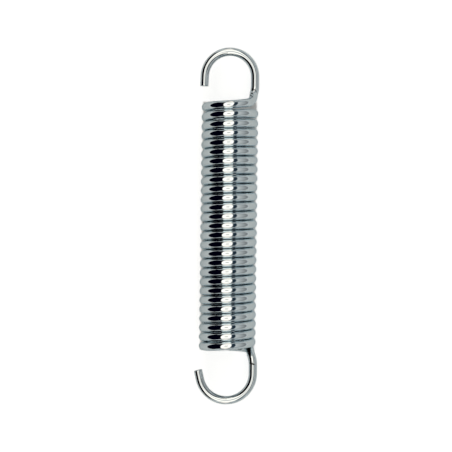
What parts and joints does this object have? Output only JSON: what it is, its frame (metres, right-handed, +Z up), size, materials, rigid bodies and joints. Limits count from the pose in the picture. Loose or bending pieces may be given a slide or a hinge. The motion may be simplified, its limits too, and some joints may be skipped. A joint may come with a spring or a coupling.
{
  "type": "extension spring",
  "caption": "Close-wound extension spring of bright plated round wire with an open hook at each end, hung between two parts to pull them together.",
  "frame": {"origin": "middle of the overall length, on the coil's axis, at the surface the spring lies on", "axes": "+Y along the coil's axis towards the hook whose cut end is straight, +Z up from the surface, +X to the side of the hooks' legs"},
  "size_m": [0.0178, 0.1006, 0.0161],
  "materials": {
    "wire": "bright zinc-plated drawn steel wire, mirror-like with fine drawing lines"
  },
  "bodies": {
    "root": {"wire": "wire"}
  },
  "joints": []
}
